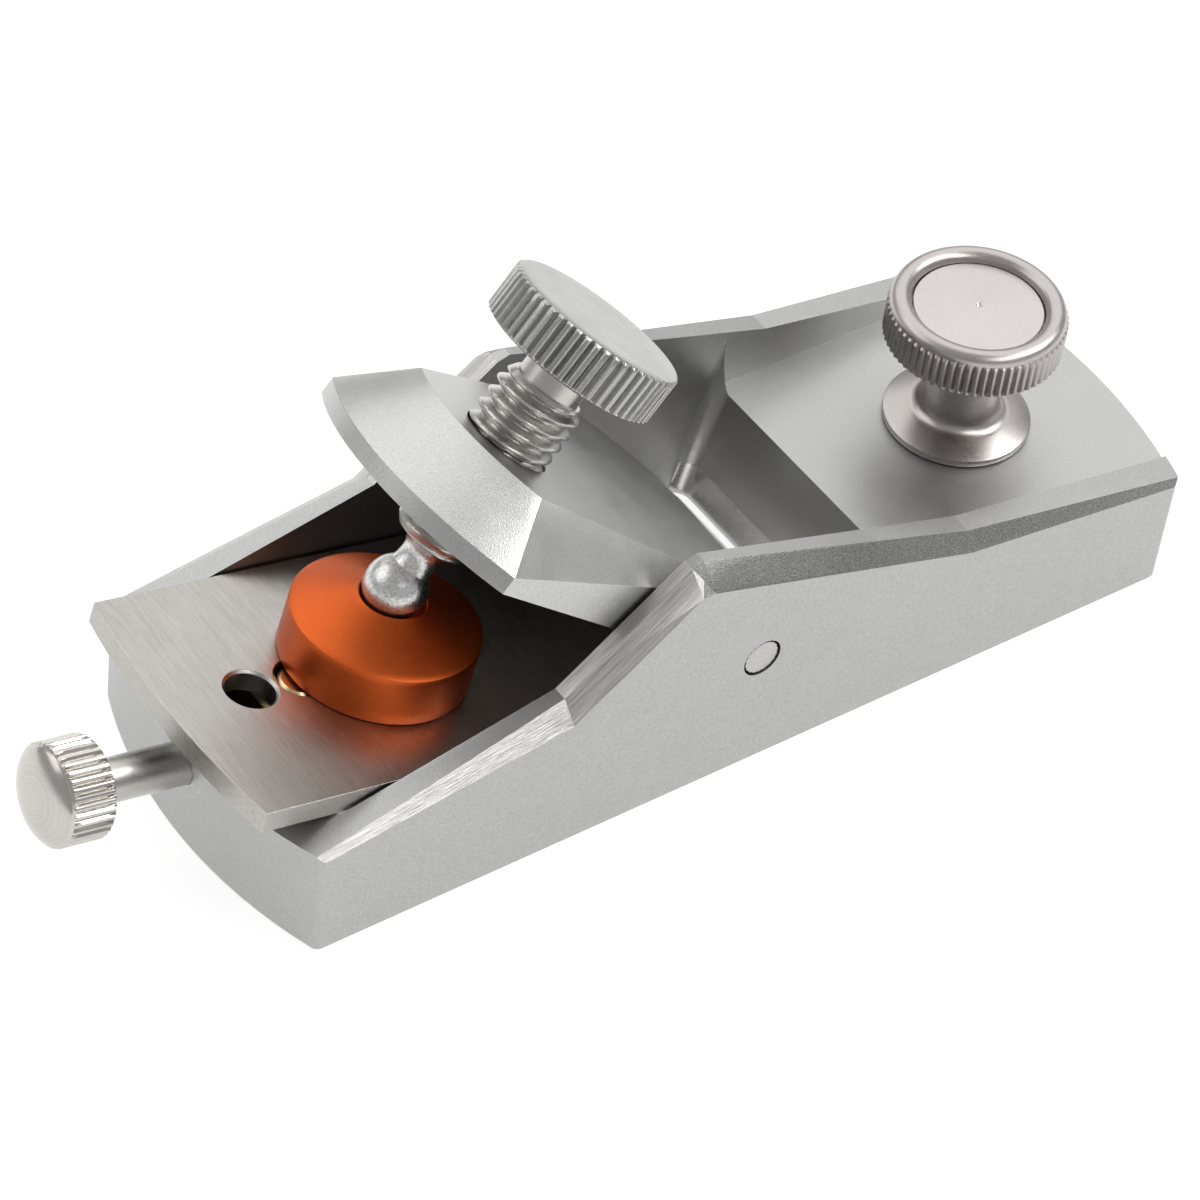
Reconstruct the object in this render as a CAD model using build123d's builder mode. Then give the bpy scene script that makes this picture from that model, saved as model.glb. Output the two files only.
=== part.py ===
"""Low-angle block plane in millimetres.

+X points to the toe, +Z up, and the origin is at the centre of the sole. The iron lies
bevel up on a 12.4 degree bed, and a sliding toe plate closes the mouth in front of it.
Screw threads are plain cylinders at their outer diameter.
"""
from build123d import *
import os
from math import cos, hypot, pi, radians, sin, sqrt, tan

os.makedirs("parts", exist_ok=True)

# ---------------------------------------------------------------- driving sizes
# Body: one milled block, straight sides, arced heel and toe
BODY_HALF = 24.9              # half width over the cheeks
CHANNEL_HALF = 20.35          # half width between the cheeks
HEEL_CORNER_X = -66.3
TOE_CORNER_X = 66.7
HEEL_ARC_R = 68.8
TOE_ARC_R = 76.2
PLAN_CORNER_R = 1.2
SOLE_EDGE = 0.4
FLOOR_Z = 3.5                 # top of the sole inside the adjuster cavity
DECK_Z = 17.0
DECK_REAR_X = 24.2

# Stations along the cheek top: x, height of the inner edge, where the outer chamfer
# starts across the top, and the height at which it ends on the outer side
HEEL_STATION = (-76.0, 14.7, 24.6, 14.9)
KINK_STATION = (-30.8, 23.9, 22.4, 21.3)
PEAK_REAR_STATION = (-13.3, 37.2, 22.0, 34.6)
PEAK_FRONT_STATION = (-11.5, 37.7, 21.8, 34.7)
BEND_STATION = (30.9, 24.2, 23.4, 21.5)
TOE_STATION = (75.9, 16.6, 24.8, 15.6)
CHEEK_STATIONS = (
    HEEL_STATION,
    KINK_STATION,
    PEAK_REAR_STATION,
    PEAK_FRONT_STATION,
    BEND_STATION,
    TOE_STATION,
)

# Mouth and throat
EDGE_X = 19.1                 # where the cutting edge meets the sole
MOUTH_REAR_X = 16.5
MOUTH_FRONT_X = 20.0
THROAT_CORNER_R = 2.5

# Toe plate: slides in a recess of the sole, its rear edge is the front of the mouth
PLATE_THICK = 5.0
PLATE_HALF = 20.3
PLATE_END_X = 57.0
PLATE_TRAVEL = 5.0
PLATE_CLOSING = 0.4

# Bed and iron
BED_ANGLE = 12.4
IRON_LENGTH = 93.5            # cutting edge to the rear corners
IRON_WIDTH = 40.0
IRON_THICK = 3.05
IRON_REAR_BULGE = 1.75
BEVEL_ANGLE = 25.0
EDGE_CORNER = 1.5             # eased corners of the cutting edge
IRON_HOLE_R = 3.25
IRON_HOLE_X = (-83.0, -75.5, -68.0)
IRON_HOLE_CHAMFER = 0.35
LAND_HALF = 7.5              # bed land under the rear of the iron

# Depth adjuster, along the bed
ADJ_BELOW_BED = 6.85
ADJ_KNOB_R = 6.55
ADJ_KNOB_FRONT = -103.7
ADJ_KNOB_LENGTH = 6.1
ADJ_DOME = 2.0
ADJ_SHANK_R = 2.8
ADJ_NECK_R = 2.4
ADJ_NECK_LENGTH = 1.4
LEAD_R = 2.5
CAVITY_REAR = -86.2
CAVITY_FRONT = -60.0
CAVITY_HALF = 9.0
WASHER_THICK = 0.8
COLLAR_THICK = 3.4
COLLAR_R = 5.0
BUSHING_R = 4.4
BUSHING_FLANGE_R = 5.4
HEEL_WALL = 7.0              # at least as thick as the heel round the bush
SET_SCREW_R = 1.0
CARRIAGE = (8.0, 12.0, 9.4)
PEG_R = 2.95
RUNNING = 0.05                # radial clearance of a running fit

# Lever cap, clamp screw and pad
CAP_TILT = 39.4
CAP_REAR_EDGE = (-30.5, 49.5)  # x, z of the point midway between the rear top corners
CAP_CENTRE = 20.1             # from that point to the turning centre of the cap blank
CAP_TOP_R = 24.1
CAP_RIM_R = 31.4
CAP_RIM_TOP = -7.9
CAP_BOTTOM = -10.3
CAP_HALF = 19.9
CAP_CORNER_Y = 13.05          # half length of the cap's rear top edge
CAP_FACET_END = 38.5
PIN_X = -2.0
PIN_Z = 18.8
PIN_R = 2.8
SCREW_AT = 5.15               # clamp screw axis along the cap
SCREW_THREAD_R = 5.8
SCREW_PITCH = 1.9
SCREW_HEAD_R = 11.95
SCREW_HEAD_TOP = 18.8
SCREW_HEAD_THICK = 6.6
SCREW_NECK_R = 4.3
SCREW_THREAD_TOP = 8.4
SCREW_THREAD_END = -15.6
BALL_R = 4.15
BALL_AT = -22.9
WAIST_R = 2.45
PAD_X = -64.8                 # along the bed from the cutting edge
PAD_R = 12.3
PAD_CYLINDER = 7.2
PAD_HEIGHT = 10.3
SOCKET_R = 4.4

# Front knob
KNOB_X = 48.6
KNOB_R = 11.95
KNOB_TOP = 37.7
KNOB_KNURL_TOP = 36.3
KNOB_UNDER = 30.9
KNOB_RECESS_R = 8.8
KNOB_RECESS_Z = 36.5
KNOB_DISC_THICK = 1.0
STEM_R = 5.25
FLANGE_R = 9.95
FLANGE_THICK = 1.0
STUD_R = 3.0

# ---------------------------------------------------------------- frames
bed_tilt = radians(BED_ANGLE)
cap_tilt = radians(CAP_TILT)
# Bed frame: X runs down the bed to the cutting edge, Z is the iron's upward normal
bed = Plane(
    origin=(EDGE_X, 0, 0),
    x_dir=(cos(bed_tilt), 0, -sin(bed_tilt)),
    z_dir=(sin(bed_tilt), 0, cos(bed_tilt)),
)
# Cap frame: X runs down the cap's top plane, Z is its upward normal
cap = Plane(
    origin=(CAP_REAR_EDGE[0], 0, CAP_REAR_EDGE[1]),
    x_dir=(cos(cap_tilt), 0, -sin(cap_tilt)),
    z_dir=(sin(cap_tilt), 0, cos(cap_tilt)),
)


def on(frame, x, y, z):
    """World point of a point given in a frame."""
    return frame.from_local_coords(Vector(x, y, z))


def across(frame, x=0.0, z=0.0):
    """Side plane of a frame: its X and Z as the sketch's X and Y."""
    return Plane(origin=on(frame, x, 0, z), x_dir=frame.x_dir, z_dir=(0, -1, 0))


def along_bed(x):
    """Plane square to the adjuster's axis, facing the toe."""
    return Plane(origin=on(bed, x, 0, -ADJ_BELOW_BED), x_dir=(0, 1, 0), z_dir=bed.x_dir)


screw_foot = on(cap, SCREW_AT, 0, 0)
screw_frame = Plane(origin=screw_foot, x_dir=cap.x_dir, z_dir=cap.z_dir)
pad_frame = Plane(origin=on(bed, PAD_X, 0, IRON_THICK), x_dir=bed.x_dir, z_dir=bed.z_dir)

# ---------------------------------------------------------------- body
heel_bulge = HEEL_ARC_R - sqrt(HEEL_ARC_R**2 - BODY_HALF**2)
toe_bulge = TOE_ARC_R - sqrt(TOE_ARC_R**2 - BODY_HALF**2)
HIGH = 60.0
REACH = 90.0

# The channel's outline from the side: bed, mouth slot and sloping throat wall
with BuildPart() as channel:
    with BuildSketch(Plane.XZ) as channel_sketch:
        with BuildLine():
            Polyline(
                (-REACH, (EDGE_X + REACH) * tan(bed_tilt)),
                (MOUTH_REAR_X, (EDGE_X - MOUTH_REAR_X) * tan(bed_tilt)),
                (MOUTH_REAR_X, -1.0),
                (MOUTH_FRONT_X - 0.25, -1.0),
                (DECK_REAR_X, DECK_Z),
                (DECK_REAR_X, HIGH),
                (-REACH, HIGH),
                close=True,
            )
        make_face()
    extrude(amount=CHANNEL_HALF, both=True)
    throat_edges = channel.edges().filter_by(
        lambda e: abs(e.center().X - (MOUTH_FRONT_X + DECK_REAR_X) / 2) < 1.0
        and e.center().Z < DECK_Z
        and abs(e.center().Y) > CHANNEL_HALF - 0.1
    )
    fillet(throat_edges, THROAT_CORNER_R)

# Adjuster cavity under the iron, square to the bed
cavity_length = CAVITY_FRONT - CAVITY_REAR
cavity_centre = (CAVITY_FRONT + CAVITY_REAR) / 2
with BuildPart() as cavity:
    with BuildSketch(Plane(origin=on(bed, cavity_centre, 0, 2.0), x_dir=bed.x_dir, z_dir=bed.z_dir)):
        RectangleRounded(cavity_length, 2 * CAVITY_HALF, 2.0)
    extrude(amount=-HIGH)
    with BuildSketch(Plane.XY.offset(FLOOR_Z)):
        Rectangle(2 * REACH, 2 * REACH)
    extrude(amount=HIGH, mode=Mode.INTERSECT)

with BuildPart() as body:
    with BuildSketch() as plan:
        with BuildLine():
            Polyline((HEEL_CORNER_X, -BODY_HALF), (TOE_CORNER_X, -BODY_HALF))
            ThreePointArc(
                (TOE_CORNER_X, -BODY_HALF), (TOE_CORNER_X + toe_bulge, 0), (TOE_CORNER_X, BODY_HALF)
            )
            Polyline((TOE_CORNER_X, BODY_HALF), (HEEL_CORNER_X, BODY_HALF))
            ThreePointArc(
                (HEEL_CORNER_X, BODY_HALF), (HEEL_CORNER_X - heel_bulge, 0), (HEEL_CORNER_X, -BODY_HALF)
            )
        make_face()
        fillet(plan.vertices(), PLAN_CORNER_R)
    extrude(amount=HIGH)
    chamfer(body.faces().sort_by(Axis.Z)[0].edges(), SOLE_EDGE)
    # cheek top line
    with BuildSketch(Plane.XZ):
        with BuildLine():
            Polyline(
                *[(x, z) for x, z, _, _ in CHEEK_STATIONS],
                (REACH, -5.0),
                (-REACH, -5.0),
                (-REACH, HEEL_STATION[1]),
                close=True,
            )
        make_face()
    extrude(amount=REACH, both=True, mode=Mode.INTERSECT)
    # long outer chamfers, one flat from station to station
    for side in (-1, 1):
        for near, far in zip(CHEEK_STATIONS[:-1], CHEEK_STATIONS[1:]):
            for x, z_top, y_top, z_side in (near, far):
                run = BODY_HALF - y_top
                drop = z_top - z_side
                with BuildSketch(Plane.YZ.offset(x)):
                    with BuildLine():
                        Polyline(
                            (side * (y_top - run), z_top + drop),
                            (side * (BODY_HALF + run), z_side - drop),
                            (side * (BODY_HALF + 6 * run), z_top + 6 * drop),
                            close=True,
                        )
                    make_face()
            loft(ruled=True, mode=Mode.SUBTRACT)
    # bed land that carries the rear of the iron above the cheeks
    with BuildSketch(across(bed)):
        with BuildLine():
            Polyline((-91.5, 0), (-70.0, 0), (-70.0, -8.0), (-89.8, -8.0), close=True)
        make_face()
    extrude(amount=LAND_HALF, both=True)
    add(channel.part, mode=Mode.SUBTRACT)
    add(cavity.part, mode=Mode.SUBTRACT)
    # front deck between the cheeks
    with BuildSketch(Plane.XY.offset(DECK_Z)):
        with Locations((DECK_REAR_X + REACH / 2, 0)):
            Rectangle(REACH, 2 * CHANNEL_HALF)
    extrude(amount=HIGH, mode=Mode.SUBTRACT)
    # cross pin bores
    with BuildSketch(Plane.XZ):
        with Locations((PIN_X, PIN_Z)):
            Circle(PIN_R)
    extrude(amount=BODY_HALF + 1, both=True, mode=Mode.SUBTRACT)
    # bushing bore through the heel
    with BuildSketch(along_bed(CAVITY_REAR + 1)):
        Circle(BUSHING_R)
    extrude(amount=-12, mode=Mode.SUBTRACT)
    # recess for the toe plate, and the stud's slot through the deck above it
    recess_end = PLATE_END_X + PLATE_TRAVEL + 0.2
    with BuildSketch(Plane.XY.offset(-1.0)) as recess:
        with Locations(((MOUTH_REAR_X + recess_end) / 2, 0)):
            Rectangle(recess_end - MOUTH_REAR_X, 2 * CHANNEL_HALF)
        fillet(recess.vertices().group_by(Axis.X)[-1], 3.0)
    extrude(amount=PLATE_THICK + 0.05 + 1.0, mode=Mode.SUBTRACT)
    slot_half = (PLATE_TRAVEL + PLATE_CLOSING) / 2
    with BuildSketch(Plane.XY):
        with Locations((KNOB_X + slot_half - PLATE_CLOSING, 0)):
            SlotCenterToCenter(2 * slot_half + 0.4, 2 * (STUD_R + 0.2))
    extrude(amount=DECK_Z + 1, mode=Mode.SUBTRACT)
body.part.label = "body"
export_step(body.part, "parts/body.step")

# ---------------------------------------------------------------- toe plate
# Its rear corners carry on the rounded corners of the throat wall
with BuildPart() as toe_plate:
    with BuildSketch():
        with Locations(((MOUTH_REAR_X + 0.5 + PLATE_END_X) / 2, 0)):
            Rectangle(PLATE_END_X - MOUTH_REAR_X - 0.5, 2 * PLATE_HALF)
    extrude(amount=PLATE_THICK)
    add(channel.part, mode=Mode.SUBTRACT)
    fillet(toe_plate.edges().filter_by(Axis.Z).group_by(Axis.X)[-1], 3.0)
    with Locations(Plane(origin=(KNOB_X, 0, 0), x_dir=(1, 0, 0), z_dir=(0, 0, -1))):
        CounterBoreHole(STUD_R, 5.0, 3.2, PLATE_THICK)
toe_plate.part.label = "toe_plate"
export_step(toe_plate.part, "parts/toe_plate.step")

# ---------------------------------------------------------------- iron
with BuildPart() as iron:
    with BuildSketch(bed) as iron_plan:
        half = IRON_WIDTH / 2
        with BuildLine():
            Polyline(
                (-IRON_LENGTH, -half),
                (-EDGE_CORNER, -half),
                (0, -half + EDGE_CORNER),
                (0, half - EDGE_CORNER),
                (-EDGE_CORNER, half),
                (-IRON_LENGTH, half),
            )
            ThreePointArc(
                (-IRON_LENGTH, half), (-IRON_LENGTH - IRON_REAR_BULGE, 0), (-IRON_LENGTH, -half)
            )
        make_face()
        with Locations(*[(x, 0) for x in IRON_HOLE_X]):
            Circle(IRON_HOLE_R, mode=Mode.SUBTRACT)
    extrude(amount=IRON_THICK)
    # ground bevel on the top face
    with BuildSketch(across(bed)):
        with BuildLine():
            Polyline(
                (0, 0), (-IRON_THICK / tan(radians(BEVEL_ANGLE)), IRON_THICK), (0, IRON_THICK), close=True
            )
        make_face()
    extrude(amount=half + 1, both=True, mode=Mode.SUBTRACT)
    top_rims = iron.edges().filter_by(GeomType.CIRCLE).filter_by(
        lambda e: e.radius < 5 and bed.to_local_coords(e.center()).Z > IRON_THICK / 2
    )
    chamfer(top_rims, IRON_HOLE_CHAMFER)
iron.part.label = "blade"
export_step(iron.part, "parts/blade.step")

# ---------------------------------------------------------------- lever cap
# Where the cap's underside comes down to the iron's top face, measured down the cap
slope_gap = cap_tilt - bed_tilt
underside_start = bed.to_local_coords(on(cap, 0, 0, CAP_BOTTOM))
nose_at = (underside_start.Z - IRON_THICK - 0.05) / sin(slope_gap)

with BuildPart() as lever_cap:
    # turned blank: flat top, cone and rim
    with BuildSketch(across(cap)):
        with BuildLine():
            Polyline(
                (CAP_CENTRE, CAP_BOTTOM),
                (CAP_CENTRE + CAP_RIM_R, CAP_BOTTOM),
                (CAP_CENTRE + CAP_RIM_R, CAP_RIM_TOP),
                (CAP_CENTRE + CAP_TOP_R, 0),
                (CAP_CENTRE, 0),
                close=True,
            )
        make_face()
    revolve(axis=Axis(on(cap, CAP_CENTRE, 0, 0), cap.z_dir))
    # nose that bears on the iron
    with BuildSketch(across(cap)):
        with BuildLine():
            Polyline(
                (CAP_CENTRE + CAP_TOP_R - 8, CAP_BOTTOM),
                (nose_at, CAP_BOTTOM),
                (nose_at, CAP_BOTTOM + 0.6),
                (CAP_CENTRE + CAP_TOP_R + 4.0, -4.5),
                (CAP_CENTRE + CAP_TOP_R - 8, -4.5),
                close=True,
            )
        make_face()
    extrude(amount=CAP_HALF + 5, both=True)
    # parallel sides
    with BuildSketch(cap):
        with Locations((CAP_CENTRE, 0)):
            Rectangle(2 * REACH, 2 * CAP_HALF)
    extrude(amount=HIGH, both=True, mode=Mode.INTERSECT)
    # sloping side facets
    corner_s = CAP_CENTRE - sqrt(CAP_RIM_R**2 - CAP_HALF**2)
    for side in (-1, 1):
        top_corner = Vector(0, side * CAP_CORNER_Y, 0)
        rear_corner = Vector(corner_s, side * CAP_HALF, CAP_RIM_TOP)
        front_corner = Vector(CAP_FACET_END, side * CAP_HALF, 0)
        normal = (front_corner - top_corner).cross(rear_corner - top_corner).normalized()
        if normal.Z < 0:
            normal = normal * -1
        foot = on(cap, top_corner.X, top_corner.Y, top_corner.Z)
        tip = on(cap, front_corner.X, front_corner.Y, front_corner.Z)
        lift = on(cap, normal.X, normal.Y, normal.Z) - cap.origin
        with BuildSketch(Plane(origin=foot, x_dir=tip - foot, z_dir=lift)):
            Rectangle(2 * REACH, 2 * REACH)
        extrude(amount=HIGH / 2, mode=Mode.SUBTRACT)
    # clamp screw hole with a broken edge, and the pin bore
    with BuildSketch(screw_frame):
        Circle(SCREW_THREAD_R + RUNNING)
    extrude(amount=HIGH, both=True, mode=Mode.SUBTRACT)
    with BuildSketch(Plane.XZ):
        with Locations((PIN_X, PIN_Z)):
            Circle(PIN_R + RUNNING)
    extrude(amount=BODY_HALF, both=True, mode=Mode.SUBTRACT)
lever_cap.part.label = "lever_cap"
export_step(lever_cap.part, "parts/lever_cap.step")

with BuildPart() as cross_pin:
    with BuildSketch(Plane.XZ):
        with Locations((PIN_X, PIN_Z)):
            Circle(PIN_R)
    extrude(amount=BODY_HALF, both=True)
cross_pin.part.label = "cross_pin"
export_step(cross_pin.part, "parts/cross_pin.step")

# ---------------------------------------------------------------- clamp screw
head_under = SCREW_HEAD_TOP - SCREW_HEAD_THICK
SPIGOT_R = 3.0
SPIGOT = 4.5
TIP_R = 2.2
tip_top = SCREW_THREAD_END + 7.0
waist_z = BALL_AT + 4.7
ball_join_z = BALL_AT + sqrt(BALL_R**2 - (WAIST_R + 0.25) ** 2)

with BuildPart() as spindle:
    with BuildSketch(across(screw_frame)):
        with BuildLine():
            Polyline(
                (0, head_under + SPIGOT),
                (SPIGOT_R, head_under + SPIGOT),
                (SPIGOT_R, head_under),
                (SCREW_NECK_R, head_under),
                (SCREW_NECK_R, SCREW_THREAD_TOP + 0.8),
                (SCREW_THREAD_R - 0.7, SCREW_THREAD_TOP),
                (SCREW_THREAD_R, SCREW_THREAD_TOP - 0.7),
                (SCREW_THREAD_R, SCREW_THREAD_END + 0.9),
                (SCREW_THREAD_R - 1.2, SCREW_THREAD_END),
            )
            Polyline(
                (SCREW_THREAD_R - 1.2, SCREW_THREAD_END),
                (TIP_R + RUNNING, SCREW_THREAD_END),
                (TIP_R + RUNNING, tip_top + 0.2),
                (0, tip_top + 0.2),
                (0, head_under + SPIGOT),
            )
        make_face()
    revolve(axis=Axis(screw_foot, cap.z_dir))
spindle.part.label = "thumb_screw_spindle"
export_step(spindle.part, "parts/thumb_screw_spindle.step")

# Ball tip: its stalk turns in the spindle's end, so the ball need not spin in the pad
with BuildPart() as ball_tip:
    with BuildSketch(across(screw_frame)):
        with BuildLine():
            Polyline(
                (0, tip_top),
                (TIP_R, tip_top),
                (TIP_R, SCREW_THREAD_END - 0.05),
                (SCREW_THREAD_R - 1.3, SCREW_THREAD_END - 0.05),
            )
            Spline(
                (SCREW_THREAD_R - 1.3, SCREW_THREAD_END - 0.05),
                (WAIST_R, waist_z),
                (WAIST_R + 0.25, ball_join_z),
            )
            ThreePointArc(
                (WAIST_R + 0.25, ball_join_z), (BALL_R, BALL_AT), (0, BALL_AT - BALL_R)
            )
            Line((0, BALL_AT - BALL_R), (0, tip_top))
        make_face()
    revolve(axis=Axis(screw_foot, cap.z_dir))
ball_tip.part.label = "thumb_screw_ball"
export_step(ball_tip.part, "parts/thumb_screw_ball.step")

with BuildPart() as thumb_head:
    with BuildSketch(screw_frame.offset(head_under)):
        Circle(SCREW_HEAD_R)
        Circle(SPIGOT_R, mode=Mode.SUBTRACT)
    extrude(amount=SPIGOT)
    with BuildSketch(screw_frame.offset(head_under + SPIGOT)):
        Circle(SCREW_HEAD_R)
    extrude(amount=SCREW_HEAD_THICK - SPIGOT)
    outer_rims = thumb_head.edges().filter_by(GeomType.CIRCLE).filter_by(
        lambda e: e.radius > SCREW_HEAD_R - 0.1
    )
    ends = outer_rims.sort_by(Axis(screw_foot, cap.z_dir))
    chamfer([ends[0], ends[-1]], 0.35)
thumb_head.part.label = "thumb_screw_head"
export_step(thumb_head.part, "parts/thumb_screw_head.step")

ball_over_iron = pad_frame.to_local_coords(on(screw_frame, 0, 0, BALL_AT))
with BuildPart() as pad:
    with BuildSketch(across(pad_frame)):
        with BuildLine():
            Polyline(
                (0, 0),
                (PAD_R - 0.3, 0),
                (PAD_R, 0.3),
                (PAD_R, PAD_CYLINDER),
                (SOCKET_R, PAD_HEIGHT),
                (0, PAD_HEIGHT),
                close=True,
            )
        make_face()
    revolve(axis=Axis(pad_frame.origin, bed.z_dir))
    with Locations(on(pad_frame, ball_over_iron.X, 0, ball_over_iron.Z + 0.25)):
        Sphere(BALL_R + 0.3, mode=Mode.SUBTRACT)
pad.part.label = "pressure_pad"
export_step(pad.part, "parts/pressure_pad.step")

# ---------------------------------------------------------------- depth adjuster
lead_end = CAVITY_FRONT - 2.5
shank_end = CAVITY_REAR + WASHER_THICK + COLLAR_THICK + 0.4
knob_grip = 5.0

with BuildPart() as lead_screw:
    with BuildSketch(along_bed(ADJ_KNOB_FRONT - knob_grip)):
        Circle(ADJ_NECK_R)
    extrude(amount=knob_grip + ADJ_NECK_LENGTH)
    with BuildSketch(along_bed(ADJ_KNOB_FRONT + ADJ_NECK_LENGTH)):
        Circle(ADJ_SHANK_R)
    extrude(amount=shank_end - ADJ_KNOB_FRONT - ADJ_NECK_LENGTH)
    with BuildSketch(along_bed(shank_end)):
        Circle(LEAD_R)
    extrude(amount=lead_end - shank_end)
    chamfer(lead_screw.faces().sort_by(Axis(bed.origin, bed.x_dir))[-1].edges(), 0.5)
lead_screw.part.label = "lead_screw"
export_step(lead_screw.part, "parts/lead_screw.step")

knob_rear = ADJ_KNOB_FRONT - ADJ_KNOB_LENGTH
adj_frame = Plane(origin=on(bed, 0, 0, -ADJ_BELOW_BED), x_dir=bed.x_dir, z_dir=bed.z_dir)
with BuildPart() as adjuster_knob:
    with BuildSketch(across(adj_frame)):
        with BuildLine():
            Polyline(
                (knob_rear - ADJ_DOME, 0),
                (ADJ_KNOB_FRONT, 0),
                (ADJ_KNOB_FRONT, ADJ_KNOB_R - 0.5),
                (ADJ_KNOB_FRONT - 0.5, ADJ_KNOB_R),
                (knob_rear, ADJ_KNOB_R),
            )
            RadiusArc(
                (knob_rear, ADJ_KNOB_R),
                (knob_rear - ADJ_DOME, 0),
                -(ADJ_KNOB_R**2 + ADJ_DOME**2) / (2 * ADJ_DOME),
            )
        make_face()
    revolve(axis=Axis(adj_frame.origin, bed.x_dir))
    with BuildSketch(along_bed(ADJ_KNOB_FRONT)):
        Circle(ADJ_NECK_R)
    extrude(amount=-knob_grip, mode=Mode.SUBTRACT)
adjuster_knob.part.label = "adjuster_knob"
export_step(adjuster_knob.part, "parts/adjuster_knob.step")

# Flanged bush pressed into the heel, its flange in the cavity and its end flush outside
with BuildPart() as bushing:
    with BuildSketch(along_bed(CAVITY_REAR)):
        Circle(BUSHING_R)
        Circle(ADJ_SHANK_R + RUNNING, mode=Mode.SUBTRACT)
    extrude(amount=-HEEL_WALL)
    # dressed flush with the heel
    extrude(plan.sketch, amount=HIGH, mode=Mode.INTERSECT)
    with BuildSketch(along_bed(CAVITY_REAR)):
        Circle(BUSHING_FLANGE_R)
        Circle(ADJ_SHANK_R + RUNNING, mode=Mode.SUBTRACT)
    extrude(amount=WASHER_THICK)
bushing.part.label = "adjuster_bushing"
export_step(bushing.part, "parts/adjuster_bushing.step")

collar_rear = CAVITY_REAR + WASHER_THICK + 0.2
with BuildPart() as washer:
    with BuildSketch(along_bed(collar_rear - 0.15)):
        Circle(COLLAR_R)
        Circle(ADJ_SHANK_R + RUNNING, mode=Mode.SUBTRACT)
    extrude(amount=0.5)
washer.part.label = "thrust_washer"
export_step(washer.part, "parts/thrust_washer.step")

collar_middle = collar_rear + 0.4 + (COLLAR_THICK - 1.0) / 2
set_screw_plane = Plane(
    origin=on(bed, collar_middle, 0, -ADJ_BELOW_BED), x_dir=bed.x_dir, z_dir=bed.z_dir
)
with BuildPart() as collar:
    with BuildSketch(along_bed(collar_rear + 0.4)):
        Circle(COLLAR_R)
        Circle(ADJ_SHANK_R, mode=Mode.SUBTRACT)
    extrude(amount=COLLAR_THICK - 1.0)
    with BuildSketch(set_screw_plane):
        Circle(SET_SCREW_R)
    extrude(amount=COLLAR_R + 1, mode=Mode.SUBTRACT)
collar.part.label = "thrust_collar"
export_step(collar.part, "parts/thrust_collar.step")

with BuildPart() as set_screw:
    with BuildSketch(set_screw_plane.offset(ADJ_SHANK_R)):
        Circle(SET_SCREW_R)
    extrude(amount=COLLAR_R - ADJ_SHANK_R - 0.3)
    with BuildSketch(set_screw_plane.offset(COLLAR_R - 1.1)):
        RegularPolygon(0.55, 6)
    extrude(amount=2, mode=Mode.SUBTRACT)
set_screw.part.label = "collar_set_screw"
export_step(set_screw.part, "parts/collar_set_screw.step")

# Nut block on the lead screw, and the peg that carries the iron
peg_x = IRON_HOLE_X[1]
carriage_top = -0.9
with BuildPart() as carriage:
    with BuildSketch(
        Plane(origin=on(bed, peg_x, 0, carriage_top - CARRIAGE[2]), x_dir=bed.x_dir, z_dir=bed.z_dir)
    ):
        Rectangle(CARRIAGE[0], CARRIAGE[1])
    extrude(amount=CARRIAGE[2])
    chamfer(carriage.edges().filter_by(Plane(bed.origin, z_dir=bed.x_dir)).filter_by(Axis.Y), 0.5)
    with BuildSketch(along_bed(peg_x - CARRIAGE[0])):
        Circle(LEAD_R + RUNNING)
    extrude(amount=2 * CARRIAGE[0], mode=Mode.SUBTRACT)
carriage.part.label = "blade_carriage"
export_step(carriage.part, "parts/blade_carriage.step")

with BuildPart() as peg:
    with BuildSketch(
        Plane(origin=on(bed, peg_x, 0, carriage_top), x_dir=bed.x_dir, z_dir=bed.z_dir)
    ):
        Circle(PEG_R)
    extrude(amount=IRON_THICK - carriage_top - 0.35)
    chamfer(peg.faces().sort_by(Axis(bed.origin, bed.z_dir))[-1].edges(), 0.4)
peg.part.label = "carriage_peg"
export_step(peg.part, "parts/carriage_peg.step")

# ---------------------------------------------------------------- front knob
knob_frame = Plane(origin=(KNOB_X, 0, 0), x_dir=(1, 0, 0), z_dir=(0, 0, 1))
knob_axis = Axis((KNOB_X, 0, 0), (0, 0, 1))
bead_width = KNOB_R - 0.25 - KNOB_RECESS_R
CAP_SCREW_R = 2.0
CAP_SCREW_HEAD_R = 3.9
recess_floor = KNOB_RECESS_Z - KNOB_DISC_THICK

with BuildPart() as knob_rim:
    with BuildSketch(across(knob_frame)):
        with BuildLine():
            Polyline(
                (CAP_SCREW_R, recess_floor),
                (CAP_SCREW_R, KNOB_UNDER),
                (KNOB_R - 0.8, KNOB_UNDER),
                (KNOB_R, KNOB_UNDER + 0.6),
                (KNOB_R, KNOB_KNURL_TOP),
                (KNOB_R - 0.25, KNOB_KNURL_TOP),
            )
            ThreePointArc(
                (KNOB_R - 0.25, KNOB_KNURL_TOP),
                (KNOB_R - 0.25 - bead_width / 2, KNOB_TOP),
                (KNOB_RECESS_R, KNOB_KNURL_TOP),
            )
            Polyline(
                (KNOB_RECESS_R, KNOB_KNURL_TOP),
                (KNOB_RECESS_R, recess_floor),
                (CAP_SCREW_HEAD_R, recess_floor),
                (CAP_SCREW_R, recess_floor - (CAP_SCREW_HEAD_R - CAP_SCREW_R)),
            )
            Line((CAP_SCREW_R, recess_floor - (CAP_SCREW_HEAD_R - CAP_SCREW_R)), (CAP_SCREW_R, recess_floor))
        make_face()
    revolve(axis=knob_axis)
knob_rim.part.label = "front_knob_rim"
export_step(knob_rim.part, "parts/front_knob_rim.step")

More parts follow.
